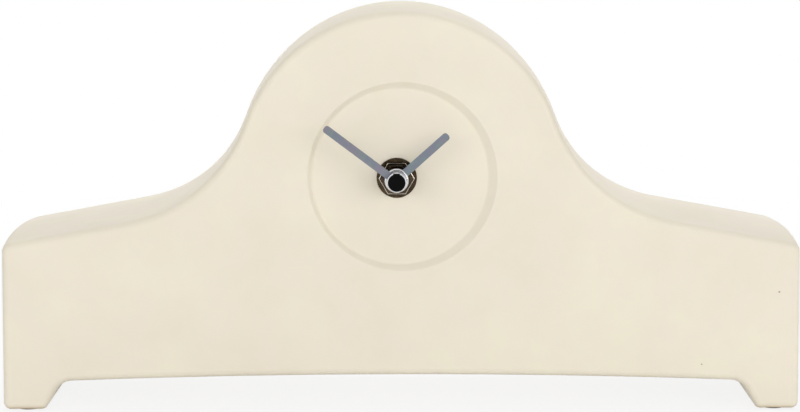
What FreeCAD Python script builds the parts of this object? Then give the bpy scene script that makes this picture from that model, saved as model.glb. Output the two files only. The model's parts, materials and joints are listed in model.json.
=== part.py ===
import FreeCAD, Part
import math
import os

# A slip-cast ceramic tambour mantel clock with a plug-in quartz movement.
# Millimetres. X runs to the viewer's right, the dial looks along -Y and Z is up.
# The origin is on the table under the middle of the whole clock.

Vector = FreeCAD.Vector

# Ceramic case: outline
face_width = 286.0
case_depth = 75.5
hub_height = 84.9
dome_lift = 1.0
dome_radius = 58.4
sweep_radius = 56.3
shoulder_height = 60.8
shoulder_fall = 10.4
shoulder_corner = 3.2
side_splay = 0.6
mould_swell = 1.5
edge_round = 2.4
back_round = 2.0

# Ceramic case: feet and arch
foot_width = 15.0
foot_slant = 29.0
foot_corner = 2.6
arch_foot_height = 11.2
arch_middle_height = 13.5
arch_fillet = 7.0

# Ceramic case: walls and cavity
case_wall = 5.5
dial_wall = 5.0
cavity_fillet = 4.0
cavity_front_fillet = 3.0

# Dial recess, cut a little beside the middle by hand
recess_radius = 33.9
recess_floor_radius = 31.7
recess_depth = 2.0
recess_shift = 0.7
recess_lift = 0.5
recess_floor_shift = -0.2
recess_floor_lift = 0.4
recess_lip_round = 0.5
recess_floor_round = 0.9

# Pads under the feet
pad_radius = 4.3
pad_thickness = 0.8
pad_setback = 9.0

# Hole and hardware on the dial, from the recess floor forwards
hub_shift = -1.35
hole_clearance = 0.5
gasket_thickness = 1.0
gasket_radius = 11.0
washer_radius = 7.2
washer_thickness = 0.8
nut_flats = 11.1
nut_thickness = 2.2
nut_bevel = 0.55
thread_radius = 4.0
thread_root = 0.25
thread_clearance = 0.05
thread_tip = 1.8
push_fit = 0.02
running_gap = 0.05

# Hands and their hubs
hand_thickness = 0.5
hub_gap = 0.4
hour_hub_radius = 4.25
hour_hub_length = 4.4
hour_rim = 0.5
hour_hand_length = 24.4
hour_hand_width = 2.85
hour_hand_angle = 48.3
minute_hub_radius = 3.52
minute_hub_length = 5.8
minute_rim = 3.0
minute_hand_length = 31.9
minute_hand_width = 2.75
minute_hand_angle = -53.0
hub_neck = 0.5
hub_bevel = 0.35
hand_ring = 0.55
hand_tip_round = 0.9
cap_radius = 3.08
cap_depth = 0.75
cap_proud = 0.5
cap_bevel = 0.25
cap_key_width = 2.4

# Hour tube and minute stem
hour_tube_radius = 2.5
hour_tube_wall = 0.75
minute_stem_radius = 1.7
minute_tip_radius = 1.45

# Movement housing
movement_size = 56.0
movement_thickness = 16.6
movement_corner = 4.0
movement_wall = 1.4
parting_depth = 9.0
knob_hole_clearance = 0.4

# Battery and its bay
cell_radius = 7.25
cell_length = 50.5
cell_sleeve = 0.2
cell_crimp = 1.2
cell_button_radius = 2.75
cell_button_length = 1.0
bay_clearance = 0.3
strip_thickness = 0.3
strip_width = 9.0
strip_gap = 0.15
spring_width = 5.0

# Wheels: teeth
pressure_angle = 25.0
wheel_tip_share = 0.7
pinion_tip_share = 0.8
root_share = 1.15
wheel_tooth_share = 0.44
pinion_tooth_share = 0.42
flank_steps = 3
minute_teeth = 12
motion_teeth = 36
motion_pinion_teeth = 10
hour_teeth = 40
setting_teeth = 12
third_teeth = 60
third_pinion_teeth = 8
centre_teeth = 64
seconds_teeth = 60
seconds_pinion_teeth = 8
step_teeth = 60
step_pinion_teeth = 12
rotor_teeth = 10

# Wheels: places, thicknesses and arbors
motion_distance = 7.5
third_distance = 7.2
step_distance = 7.5
rotor_distance = 5.25
motion_bearing = 60.0
setting_bearing = 30.0
third_bearing = 10.0
step_bearing = 150.0
rotor_bearing = 160.0
wheel_thickness = 0.8
layer_gap = 0.4
bridge_thickness = 1.2
bridge_clearance = 0.3
arbor_radius = 0.5
pivot_depth = 0.8
boss_wall = 0.8
setting_arbor_radius = 1.5
knob_radius = 4.6
knob_height = 3.4
knob_flutes = 20
knob_flute_radius = 0.45
post_radius = 1.6
post_inset = 3.4

# Stepping motor
magnet_radius = 2.0
magnet_length = 2.2
rotor_gap = 0.5
stator_thickness = 0.8
stator_width = 6.6
stator_length = 22.0
stator_arm = 3.0
stator_post_radius = 1.2
coil_distance = 8.9
core_width = 2.4
bobbin_flange = 0.7
bobbin_wall = 0.5
bobbin_depth = 4.6
bobbin_width = 8.0
coil_recess = 0.5

# Circuit board
board_width = 20.0
board_height = 11.0
board_thickness = 0.8
board_margin = 2.2
chip_radius = 2.4
chip_height = 1.0
crystal_radius = 1.0
crystal_length = 6.0

# Making
overrun = 3.0
match_gap = 0.01

# Depths, from the front of the hand cap to the back of the case
hub_stack = washer_thickness + nut_thickness + thread_tip + hub_gap + hour_hub_length
hub_stack = hub_stack + hub_gap + minute_hub_length + cap_proud
hub_proud = hub_stack - recess_depth
total_depth = case_depth + hub_proud
face_y = hub_proud - total_depth / 2
back_y = face_y + case_depth
floor_y = face_y + recess_depth
wall_back_y = floor_y + dial_wall
movement_y = wall_back_y + gasket_thickness
movement_inner_y = movement_y + movement_wall
parting_y = movement_y + parting_depth
movement_back_y = movement_y + movement_thickness
cover_inner_y = movement_back_y - movement_wall

washer_y = floor_y - washer_thickness
nut_y = washer_y - nut_thickness
thread_y = nut_y - thread_tip
hour_hub_back_y = thread_y - hub_gap
hour_hub_y = hour_hub_back_y - hour_hub_length
minute_hub_back_y = hour_hub_y - hub_gap
minute_hub_y = minute_hub_back_y - minute_hub_length
cap_y = minute_hub_y - cap_proud

# Layers of the wheel train, from the dial side to the back
hour_y = movement_inner_y + layer_gap
motion_y = hour_y + wheel_thickness + layer_gap
bridge_y = motion_y + wheel_thickness + layer_gap
bridge_back_y = bridge_y + bridge_thickness
centre_y = bridge_back_y + layer_gap
third_y = centre_y + wheel_thickness + layer_gap
seconds_y = third_y + wheel_thickness + layer_gap
step_y = seconds_y + wheel_thickness + layer_gap
magnet_y = step_y + wheel_thickness + layer_gap
magnet_back_y = magnet_y + magnet_length
stator_y = magnet_y + (magnet_length - stator_thickness) / 2
core_y = stator_y + stator_thickness


def place(start, distance, bearing):
    """The point at a distance from start, at a bearing in degrees from +X towards +Z."""
    turn = math.radians(bearing)
    return start + Vector(math.cos(turn), 0, math.sin(turn)) * distance


# Axes of the movement
hub = Vector(hub_shift, 0, hub_height)
motion_axis = place(hub, motion_distance, motion_bearing)
setting_axis = place(motion_axis, motion_distance, setting_bearing)
third_axis = place(hub, third_distance, third_bearing)
step_axis = place(hub, step_distance, step_bearing)
rotor_axis = place(step_axis, rotor_distance, rotor_bearing)

# Housing and bay walls
movement_half = movement_size / 2
inner_half = movement_half - movement_wall
bay_floor_z = hub.z - inner_half
bay_top_z = bay_floor_z + 2 * (cell_radius + bay_clearance)
chamber_floor_z = bay_top_z + movement_wall
cell_z = bay_floor_z + bay_clearance + cell_radius
cell_y = movement_inner_y + bay_clearance + cell_radius
cell_right_x = hub.x + inner_half - strip_thickness - strip_gap
cell_left_x = cell_right_x - cell_length

# Stepping motor's iron and coil
stator_left_x = rotor_axis.x - stator_width / 2
stator_bottom_z = rotor_axis.z - stator_length / 2
stator_top_z = rotor_axis.z + stator_length / 2
arm_left_x = rotor_axis.x - coil_distance - core_width / 2
coil_bottom_z = stator_bottom_z + stator_arm
coil_top_z = stator_top_z - stator_arm

# Circuit board
board_right_x = hub.x + inner_half - board_margin
board_top_z = hub.z + inner_half - board_margin
board_middle_z = board_top_z - board_height / 2
board_back_y = bridge_back_y + board_thickness


def rod(axis, front, back, radius):
    """A round bar along Y between two depths."""
    return Part.makeCylinder(radius, back - front, Vector(axis.x, front, axis.z), Vector(0, 1, 0))


def tube(axis, front, back, radius, bore):
    """A round tube along Y."""
    return rod(axis, front, back, radius).cut(rod(axis, front - overrun, back + overrun, bore))


def block(left, right, front, back, bottom, top):
    """A box between three pairs of planes."""
    return Part.makeBox(right - left, back - front, top - bottom, Vector(left, front, bottom))


def turned(axis, profile):
    """A turned solid about an axis along Y, from (radius, depth) points of its half section."""
    points = [Vector(axis.x + radius, depth, axis.z) for radius, depth in profile]
    face = Part.Face(Part.makePolygon(points + points[:1]))
    return face.revolve(Vector(axis.x, 0, axis.z), Vector(0, 1, 0), 360)


def prism(points, front, back):
    """A solid of constant section between two depths, from points in the plane of the dial."""
    section = [Vector(point.x, front, point.z) for point in points]
    face = Part.Face(Part.makePolygon(section + section[:1]))
    return face.extrude(Vector(0, back - front, 0))


def joined(first, *others):
    """One solid out of several that touch or cross."""
    return first.fuse(list(others)).removeSplitter()


def corner_edges(shape, corners):
    """The edges that run back from the given corners of a section."""
    found = []
    for edge in shape.Edges:
        box = edge.BoundBox
        start = min(edge.Vertexes, key=lambda vertex: vertex.Y).Point
        for corner in corners:
            near = math.hypot(start.x - corner.x, start.z - corner.z) < match_gap
            if near and box.YLength > box.XLength + box.ZLength:
                found.append(edge)
    return found


def rim_edges(shape, depth):
    """The edges that lie in the plane at one depth."""
    found = []
    for edge in shape.Edges:
        box = edge.BoundBox
        if abs(box.YMin - depth) < match_gap and abs(box.YMax - depth) < match_gap:
            found.append(edge)
    return found


def mirrored(points):
    """Points and their mirror images beyond the clock's middle plane."""
    return points + [Vector(-point.x, point.y, point.z) for point in points]


def arc(centre, start, end):
    """The shorter arc about a centre from start to end."""
    middle = (start - centre) + (end - centre)
    middle.normalize()
    return Part.Arc(start, centre + middle * (start - centre).Length, end).toShape()


# Case outline at the front face. Half way back, where the mould parts, it is larger all round.
half_width = face_width / 2
fall = math.radians(shoulder_fall)
slant = math.radians(foot_slant)
downhill = Vector(math.cos(fall), 0, -math.sin(fall))
uphill_normal = Vector(math.sin(fall), 0, math.cos(fall))
dome_centre = Vector(0, 0, hub_height + dome_lift)
shoulder_end = Vector(half_width, 0, shoulder_height)
dome_offset = (dome_centre - shoulder_end).dot(uphill_normal)
sweep_run = math.sqrt((dome_radius + sweep_radius) ** 2 - (sweep_radius - dome_offset) ** 2)
sweep_centre = dome_centre + downhill * sweep_run + uphill_normal * (sweep_radius - dome_offset)
foot_x = half_width + side_splay


def growth_at(depth):
    """How far the outline has grown at a depth, from nothing at both ends of the case."""
    from_parting = (depth - (face_y + back_y) / 2) / (case_depth / 2)
    return mould_swell * (1 - from_parting ** 2)


def upper_outline(growth):
    """Right half of the dome, sweep and shoulder, moved outwards by the growth."""
    toward_sweep = (sweep_centre - dome_centre).normalize()
    dome_top = dome_centre + Vector(0, 0, dome_radius + growth)
    dome_end = dome_centre + toward_sweep * (dome_radius + growth)
    sweep_end = sweep_centre - uphill_normal * (sweep_radius - growth)
    rise = growth * (1 - math.sin(fall)) / math.cos(fall)
    side_top = shoulder_end + Vector(growth, 0, rise)
    edges = [arc(dome_centre, dome_top, dome_end), arc(sweep_centre, dome_end, sweep_end)]
    edges.append(Part.makeLine(sweep_end, side_top))
    return edges, side_top


def soffit(end, middle_z):
    """Half of the shallow arch from its end to the middle of the case."""
    rise = middle_z - end.z
    radius = (end.x ** 2 + rise ** 2) / (2 * rise)
    return arc(Vector(0, 0, middle_z - radius), end, Vector(0, 0, middle_z))


def whole_outline(right_half, depth):
    """A closed wire at a depth out of the edges of its right half."""
    left_half = [edge.mirror(Vector(0, 0, 0), Vector(1, 0, 0)) for edge in right_half]
    wire = Part.Wire(Part.sortEdges(right_half + left_half)[0])
    wire.translate(Vector(0, depth, 0))
    return wire


def outer_outline(depth):
    """The outside at a depth, and its corners: shoulder, foot and arch."""
    growth = growth_at(depth)
    edges, side_top = upper_outline(growth)
    foot_outer = Vector(foot_x + growth, 0, pad_thickness)
    foot_inner = Vector(foot_x - foot_width, 0, pad_thickness)
    arch_rise = arch_foot_height - growth - pad_thickness
    arch_end = foot_inner + Vector(-arch_rise * math.tan(slant), 0, arch_rise)
    edges.append(Part.makeLine(side_top, foot_outer))
    edges.append(Part.makeLine(foot_outer, foot_inner))
    edges.append(Part.makeLine(foot_inner, arch_end))
    edges.append(soffit(arch_end, arch_middle_height - growth))
    return whole_outline(edges, depth), [side_top, foot_outer, foot_inner, arch_end]


def hollow_outline(depth):
    """The cavity at a depth, one wall inside the outside, and its corners."""
    growth = growth_at(depth) - case_wall
    edges, side_top = upper_outline(growth)
    floor_end = Vector(side_top.x, 0, arch_foot_height - growth)
    edges.append(Part.makeLine(side_top, floor_end))
    edges.append(soffit(floor_end, arch_middle_height - growth))
    return whole_outline(edges, depth), [side_top, floor_end]


def through_outlines(outline, front, back):
    """A solid through an outline at the front, the mould's parting and the back."""
    middle = (face_y + back_y) / 2
    wires = [outline(depth)[0] for depth in (front, middle, back)]
    return Part.makeLoft(wires, True, False)


def outer_block():
    """The case's outside as a solid block with feet, arch and rounded edges."""
    body = through_outlines(outer_outline, face_y, back_y)
    side_top, foot_outer, foot_inner, arch_end = outer_outline(face_y)[1]
    body = body.makeFillet(shoulder_corner, corner_edges(body, mirrored([side_top])))
    body = body.makeFillet(foot_corner, corner_edges(body, mirrored([foot_outer, foot_inner])))
    body = body.makeFillet(arch_fillet, corner_edges(body, mirrored([arch_end])))
    body = body.makeFillet(edge_round, rim_edges(body, face_y))
    return body.makeFillet(back_round, rim_edges(body, back_y))


def cavity():
    """The hollow, open at the back, with a flat front wall and a floor that follows the arch."""
    hollow = through_outlines(hollow_outline, wall_back_y, back_y + overrun)
    corners = mirrored(hollow_outline(wall_back_y)[1])
    hollow = hollow.makeFillet(cavity_fillet, corner_edges(hollow, corners))
    return hollow.makeFillet(cavity_front_fillet, rim_edges(hollow, wall_back_y))


def recess():
    """The sunk dial: a low dish whose floor sits slightly beside its mouth."""
    slope_x = (recess_shift - recess_floor_shift) / recess_depth
    slope_z = (recess_lift - recess_floor_lift) / recess_depth
    slope_r = (recess_radius - recess_floor_radius) / recess_depth
    rings = []
    for height, radius_gain in ((0, 0), (recess_depth + overrun, slope_r * (recess_depth + overrun))):
        middle = Vector(recess_floor_shift + slope_x * height, floor_y - height,
                        hub_height + recess_floor_lift + slope_z * height)
        circle = Part.makeCircle(recess_floor_radius + radius_gain, middle, Vector(0, 1, 0))
        rings.append(Part.Wire(circle))
    return Part.makeLoft(rings, True, True)


def case_shell():
    """Ceramic shell with its sunk dial and the hole for the movement's threaded tube."""
    shell = outer_block().cut(cavity()).cut(recess())
    shell = shell.makeFillet(recess_floor_round, rim_edges(shell, floor_y))
    lip = [edge for edge in rim_edges(shell, face_y) if edge.isClosed()]
    shell = shell.makeFillet(recess_lip_round, lip)
    hole = rod(hub, face_y - overrun, wall_back_y + overrun, thread_radius + hole_clearance)
    return shell.cut(hole)


def foot_pads():
    """Four thin round pads, one near each corner of the case."""
    pads = []
    side_x = half_width - foot_width / 2
    for x in (-side_x, side_x):
        for y in (face_y + pad_setback, back_y - pad_setback):
            pads.append(Part.makeCylinder(pad_radius, pad_thickness, Vector(x, y, 0)))
    return Part.makeCompound(pads)


def movement_gasket():
    """Rubber ring between the ceramic wall and the movement."""
    return tube(hub, wall_back_y, movement_y, gasket_radius, thread_radius + hole_clearance)


def shaft_washer():
    return tube(hub, washer_y, floor_y, washer_radius, thread_radius + thread_clearance)


def hex_nut():
    """Hexagon nut with flats above and below and bevelled corners."""
    corner_radius = nut_flats / math.sqrt(3)
    corners = [place(hub, corner_radius, 60 * turn) for turn in range(6)]
    body = prism(corners, nut_y, washer_y)
    low = corner_radius - nut_bevel
    cone = turned(hub, [(0, nut_y), (low, nut_y), (corner_radius, nut_y + nut_bevel),
                        (corner_radius, washer_y), (0, washer_y)])
    bore = rod(hub, nut_y - overrun, washer_y + overrun, thread_radius + thread_clearance)
    return body.common(cone).cut(bore)


def threaded_bushing():
    """Threaded tube of the movement, held in the front wall of its housing."""
    bore = hour_tube_radius + running_gap
    return turned(hub, [(bore, thread_y), (thread_radius - thread_root, thread_y),
                        (thread_radius, thread_y + thread_root), (thread_radius, movement_y),
                        (thread_radius, movement_inner_y), (bore, movement_inner_y)])


def hand_hub(front, back, radius, bore, rim):
    """Turned hub of a hand, with the groove that holds the hand's ring behind its rim."""
    rim_back = front + rim
    blade_back = rim_back + hand_thickness
    return turned(hub, [(bore, front), (radius - hub_bevel, front), (radius, front + hub_bevel),
                        (radius, rim_back), (radius - hub_neck, rim_back),
                        (radius - hub_neck, blade_back), (radius, blade_back),
                        (radius, back - hub_bevel), (radius - hub_bevel, back), (bore, back)])


def hand(front, hub_radius, length, width, angle):
    """Flat bar with a ring that sits in its hub's groove. The angle is clockwise from twelve."""
    bearing = 90 - angle
    ring_radius = hub_radius - hub_neck + push_fit
    half = width / 2
    back = front + hand_thickness
    start = ring_radius + match_gap
    bar = block(hub.x + start, hub.x + length, front, back, hub.z - half, hub.z + half)
    ends = [Vector(hub.x + length, 0, hub.z - half), Vector(hub.x + length, 0, hub.z + half)]
    bar = bar.makeFillet(hand_tip_round, corner_edges(bar, ends))
    bar.rotate(hub, Vector(0, 1, 0), -bearing)
    return joined(bar, tube(hub, front, back, ring_radius + hand_ring, ring_radius))


def hour_collet():
    return hand_hub(hour_hub_y, hour_hub_back_y, hour_hub_radius, hour_tube_radius + push_fit,
                    hour_rim)


def hour_hand():
    return hand(hour_hub_y + hour_rim, hour_hub_radius, hour_hand_length, hour_hand_width,
                hour_hand_angle)


def cap_key(radius, depth):
    """The lug on the cap, at twelve o'clock, that fits a slot in the minute hub's rim."""
    half = cap_key_width / 2
    return block(hub.x - half, hub.x + half, minute_hub_y, minute_hub_y + depth, hub.z, hub.z + radius)


def minute_collet():
    body = hand_hub(minute_hub_y, minute_hub_back_y, minute_hub_radius,
                    minute_tip_radius + push_fit, minute_rim)
    seat = rod(hub, minute_hub_y - overrun, minute_hub_y + cap_depth, cap_radius + push_fit)
    slot = cap_key(minute_hub_radius + overrun, cap_depth)
    return body.cut(seat).cut(slot)


def minute_hand():
    return hand(minute_hub_y + minute_rim, minute_hub_radius, minute_hand_length,
                minute_hand_width, minute_hand_angle)


def hand_cap():
    """Black plug in the front of the minute hub, with a lug in the slot of its rim."""
    back = minute_hub_y + cap_depth - push_fit
    plug = turned(hub, [(0, cap_y), (cap_radius - cap_bevel, cap_y), (cap_radius, cap_y + cap_bevel),
                        (cap_radius, back), (0, back)])
    lug = cap_key(minute_hub_radius - hub_bevel, cap_depth - push_fit)
    return joined(plug, lug)


def involute(angle):
    return math.tan(angle) - angle


def tooth_flank(teeth, module, tip_share, tooth_share):
    """(radius, half angle) points up one flank of a tooth, from root to tip."""
    pressure = math.radians(pressure_angle)
    pitch_radius = teeth * module / 2
    tip = pitch_radius + tip_share * module
    root = pitch_radius - root_share * module
    base = pitch_radius * math.cos(pressure)
    low = max(root, base)
    radii = [low + (tip - low) * step / flank_steps for step in range(flank_steps + 1)]
    if root < base:
        radii.insert(0, root)
    flank = []
    for radius in radii:
        local = math.acos(min(1, base / radius))
        flank.append((radius, math.pi * tooth_share / teeth + involute(pressure) - involute(local)))
    return flank


def gear(axis, front, back, teeth, module, phase, tip_share, tooth_share):
    """A spur wheel with a tooth centred at the phase, in radians from +X towards +Z."""
    flank = tooth_flank(teeth, module, tip_share, tooth_share)
    points = []
    for tooth in range(teeth):
        middle = phase + 2 * math.pi * tooth / teeth
        turns = [(radius, middle - half) for radius, half in flank]
        turns += [(radius, middle + half) for radius, half in reversed(flank)]
        for radius, turn in turns:
            points.append(axis + Vector(math.cos(turn), 0, math.sin(turn)) * radius)
    return prism(points, front, back)


def wheel(axis, front, teeth, module, phase):
    return gear(axis, front, front + wheel_thickness, teeth, module, phase, wheel_tip_share,
                wheel_tooth_share)


def pinion(axis, front, back, teeth, module, phase):
    return gear(axis, front, back, teeth, module, phase, pinion_tip_share, pinion_tooth_share)


def mesh_phase(teeth, driver_teeth, driver_phase, bearing):
    """The phase that puts a gap of one gear on a tooth of its driver, seen at the bearing."""
    along = math.radians(bearing)
    driver_part = (along - driver_phase) * driver_teeth / (2 * math.pi)
    return along + math.pi - (0.5 - driver_part) * 2 * math.pi / teeth


# Modules and phases that follow from the teeth and the distances
minute_module = 2 * motion_distance / (minute_teeth + motion_teeth)
hour_module = 2 * motion_distance / (motion_pinion_teeth + hour_teeth)
setting_module = 2 * motion_distance / (motion_teeth + setting_teeth)
third_module = 2 * third_distance / (seconds_pinion_teeth + third_teeth)
centre_module = 2 * third_distance / (third_pinion_teeth + centre_teeth)
seconds_module = 2 * step_distance / (step_pinion_teeth + seconds_teeth)
step_module = 2 * rotor_distance / (rotor_teeth + step_teeth)
motion_phase = mesh_phase(motion_teeth, minute_teeth, 0, motion_bearing)
hour_phase = mesh_phase(hour_teeth, motion_pinion_teeth, 0, motion_bearing + 180)
setting_phase = mesh_phase(setting_teeth, motion_teeth, motion_phase, setting_bearing)
third_phase = mesh_phase(third_teeth, seconds_pinion_teeth, 0, third_bearing)
centre_phase = mesh_phase(centre_teeth, third_pinion_teeth, 0, third_bearing + 180)
step_pinion_phase = mesh_phase(step_pinion_teeth, seconds_teeth, 0, step_bearing)
rotor_phase = mesh_phase(rotor_teeth, step_teeth, 0, rotor_bearing)


def hour_wheel():
    """Wheel with the long tube that comes out through the threaded bushing."""
    bore = hour_tube_radius - hour_tube_wall
    disc = wheel(hub, hour_y, hour_teeth, hour_module, hour_phase)
    stem = rod(hub, hour_hub_y, hour_y + match_gap, hour_tube_radius)
    return joined(disc, stem).cut(rod(hub, hour_hub_y - overrun, hour_y + overrun, bore))


def minute_arbor():
    """Pinion with the stem that carries the minute hand in front and the centre wheel behind."""
    front = minute_hub_y + cap_depth
    step = minute_hub_back_y - match_gap
    back = centre_y + wheel_thickness + layer_gap / 2
    stem = turned(hub, [(0, front), (minute_tip_radius, front), (minute_tip_radius, step),
                        (minute_stem_radius, step), (minute_stem_radius, back), (0, back)])
    teeth = pinion(hub, motion_y, motion_y + wheel_thickness, minute_teeth, minute_module, 0)
    bearing = rod(hub, back - pivot_depth - running_gap, back + overrun, arbor_radius + running_gap)
    return joined(stem, teeth).cut(bearing)


def motion_wheel():
    disc = wheel(motion_axis, motion_y, motion_teeth, setting_module, motion_phase)
    teeth = pinion(motion_axis, hour_y, motion_y, motion_pinion_teeth, hour_module, 0)
    pivots = rod(motion_axis, movement_inner_y - pivot_depth, bridge_y + pivot_depth, arbor_radius)
    return joined(disc, teeth, pivots)


def setting_knob():
    """Fluted knob behind the movement, with the arbor and pinion that set the hands."""
    knob_y = movement_back_y + layer_gap
    knob = rod(setting_axis, knob_y, knob_y + knob_height, knob_radius)
    for flute in range(knob_flutes):
        spot = place(setting_axis, knob_radius, flute * 360 / knob_flutes)
        knob = knob.cut(rod(spot, knob_y - overrun, knob_y + knob_height + overrun, knob_flute_radius))
    arbor = rod(setting_axis, motion_y, knob_y, setting_arbor_radius)
    foot = rod(setting_axis, movement_inner_y - pivot_depth, motion_y, arbor_radius)
    teeth = pinion(setting_axis, motion_y, motion_y + wheel_thickness, setting_teeth,
                   setting_module, setting_phase)
    return joined(knob, arbor, foot, teeth)


def centre_wheel():
    """Wheel that slips on the minute arbor when the hands are set."""
    disc = wheel(hub, centre_y, centre_teeth, centre_module, centre_phase)
    return disc.cut(rod(hub, centre_y - overrun, third_y + overrun, minute_stem_radius + running_gap))


def boss_front(axis):
    """Depth at which the cover's bearing for an arbor begins."""
    return magnet_back_y + layer_gap if axis is rotor_axis else magnet_y


def third_wheel():
    disc = wheel(third_axis, third_y, third_teeth, third_module, third_phase)
    teeth = pinion(third_axis, centre_y, third_y, third_pinion_teeth, centre_module, 0)
    arbor = rod(third_axis, bridge_back_y - pivot_depth, boss_front(third_axis) + pivot_depth,
                arbor_radius)
    return joined(disc, teeth, arbor)


def seconds_wheel():
    disc = wheel(hub, seconds_y, seconds_teeth, seconds_module, 0)
    teeth = pinion(hub, third_y, seconds_y, seconds_pinion_teeth, third_module, 0)
    front = centre_y + wheel_thickness + layer_gap / 2 - pivot_depth
    arbor = rod(hub, front, boss_front(hub) + pivot_depth, arbor_radius)
    return joined(disc, teeth, arbor)


def step_wheel():
    disc = wheel(step_axis, step_y, step_teeth, step_module, 0)
    teeth = pinion(step_axis, seconds_y, step_y, step_pinion_teeth, seconds_module,
                   step_pinion_phase)
    arbor = rod(step_axis, bridge_back_y - pivot_depth, boss_front(step_axis) + pivot_depth,
                arbor_radius)
    return joined(disc, teeth, arbor)


def rotor_pinion():
    teeth = pinion(rotor_axis, step_y, magnet_y, rotor_teeth, step_module, rotor_phase)
    arbor = rod(rotor_axis, bridge_back_y - pivot_depth, boss_front(rotor_axis) + pivot_depth,
                arbor_radius)
    return joined(teeth, arbor)


def rotor_magnet():
    return tube(rotor_axis, magnet_y, magnet_back_y, magnet_radius, arbor_radius + push_fit)


def stator():
    """Flat iron C round the rotor, with two arms that reach the coil's core."""
    back = stator_y + stator_thickness
    bar = block(stator_left_x, stator_left_x + stator_width, stator_y, back, stator_bottom_z,
                stator_top_z)
    low = block(arm_left_x, stator_left_x, stator_y, back, stator_bottom_z, coil_bottom_z)
    high = block(arm_left_x, stator_left_x, stator_y, back, coil_top_z, stator_top_z)
    hole = rod(rotor_axis, stator_y - overrun, back + overrun, magnet_radius + rotor_gap)
    return joined(bar, low, high).cut(hole)


def coil_core():
    return block(arm_left_x, arm_left_x + core_width, core_y, core_y + stator_thickness,
                 stator_bottom_z, stator_top_z)


def coil_section(growth_x, growth_y, bottom, top):
    """A box round the coil's core, grown on both sides."""
    return block(arm_left_x - growth_x, arm_left_x + core_width + growth_x, core_y - growth_y,
                 core_y + stator_thickness + growth_y, bottom, top)


def coil_bobbin():
    """Square spool on the core, with a flange at each end."""
    wide = (bobbin_width - core_width) / 2
    deep = (bobbin_depth - stator_thickness) / 2
    middle = coil_section(bobbin_wall, bobbin_wall, coil_bottom_z, coil_top_z)
    low = coil_section(wide, deep, coil_bottom_z, coil_bottom_z + bobbin_flange)
    high = coil_section(wide, deep, coil_top_z - bobbin_flange, coil_top_z)
    return joined(middle, low, high).cut(coil_section(0, 0, stator_bottom_z, stator_top_z))


def coil_winding():
    """The wound copper, as one body between the flanges."""
    wide = (bobbin_width - core_width) / 2 - coil_recess
    deep = (bobbin_depth - stator_thickness) / 2 - coil_recess
    bottom = coil_bottom_z + bobbin_flange
    top = coil_top_z - bobbin_flange
    outside = coil_section(wide, deep, bottom, top)
    corners = [edge for edge in outside.Edges if abs(edge.Vertexes[0].Z - edge.Vertexes[1].Z) > match_gap]
    outside = outside.makeFillet(deep / 2, corners)
    return outside.cut(coil_section(bobbin_wall, bobbin_wall, bottom - overrun, top + overrun))


def housing_block(front, back):
    """The outside of a housing half, with rounded corners."""
    body = block(hub.x - movement_half, hub.x + movement_half, front, back,
                 hub.z - movement_half, hub.z + movement_half)
    corners = []
    for x in (hub.x - movement_half, hub.x + movement_half):
        for z in (hub.z - movement_half, hub.z + movement_half):
            corners.append(Vector(x, 0, z))
    return body.makeFillet(movement_corner, corner_edges(body, corners))


def housing_room(front, back, bottom, top):
    return block(hub.x - inner_half, hub.x + inner_half, front, back, bottom, top)


def post_places():
    """Where the posts that carry the bridge stand."""
    left = hub.x - inner_half + post_inset
    right = hub.x + inner_half - post_inset
    low = chamber_floor_z + post_inset
    high = hub.z + inner_half - post_inset
    return [Vector(x, 0, z) for x in (left, right) for z in (low, high)]


def movement_base():
    """Front half of the housing: wall, rim, posts for the bridge and the battery bay's floor."""
    body = housing_block(movement_y, parting_y)
    body = body.cut(housing_room(movement_inner_y, parting_y + overrun, chamber_floor_z,
                                 hub.z + inner_half))
    body = body.cut(housing_room(movement_inner_y, parting_y + overrun, bay_floor_z, bay_top_z))
    body = body.cut(rod(hub, movement_y - overrun, movement_inner_y + overrun, thread_radius + push_fit))
    for axis in (motion_axis, setting_axis):
        body = body.cut(rod(axis, movement_inner_y - pivot_depth - running_gap,
                            movement_inner_y + overrun, arbor_radius + running_gap))
    posts = [rod(spot, movement_inner_y, bridge_y, post_radius) for spot in post_places()]
    return joined(body, *posts)


def train_bridge():
    """Plate on four posts that carries the wheels' front pivots, and two pegs for the stator."""
    reach = inner_half - bridge_clearance
    plate = block(hub.x - reach, hub.x + reach, bridge_y, bridge_back_y,
                  chamber_floor_z + bridge_clearance, hub.z + reach)
    peg_x = (arm_left_x + core_width + stator_left_x) / 2
    pegs = []
    for peg_z in (stator_bottom_z + stator_arm / 2, stator_top_z - stator_arm / 2):
        pegs.append(rod(Vector(peg_x, 0, peg_z), bridge_back_y, stator_y, stator_post_radius))
    plate = joined(plate, *pegs)
    holes = [(hub, minute_stem_radius), (motion_axis, arbor_radius), (third_axis, arbor_radius)]
    holes += [(step_axis, arbor_radius), (rotor_axis, arbor_radius)]
    holes.append((setting_axis, setting_arbor_radius))
    for axis, radius in holes:
        plate = plate.cut(rod(axis, bridge_y - overrun, bridge_back_y + overrun, radius + running_gap))
    return plate


def movement_cover():
    """Back half of the housing, open over the battery, with bearings for the wheels."""
    body = housing_block(parting_y, movement_back_y)
    body = body.cut(housing_room(parting_y - overrun, cover_inner_y, chamber_floor_z,
                                 hub.z + inner_half))
    body = body.cut(housing_room(parting_y - overrun, movement_back_y + overrun, bay_floor_z,
                                 bay_top_z))
    bosses = []
    for axis in (hub, third_axis, step_axis, rotor_axis):
        bosses.append(rod(axis, boss_front(axis), cover_inner_y, arbor_radius + boss_wall))
    body = joined(body, *bosses)
    for axis in (hub, third_axis, step_axis, rotor_axis):
        body = body.cut(rod(axis, boss_front(axis) - overrun,
                            boss_front(axis) + pivot_depth + running_gap, arbor_radius + running_gap))
    return body.cut(rod(setting_axis, parting_y, movement_back_y + overrun,
                        setting_arbor_radius + knob_hole_clearance))


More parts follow.
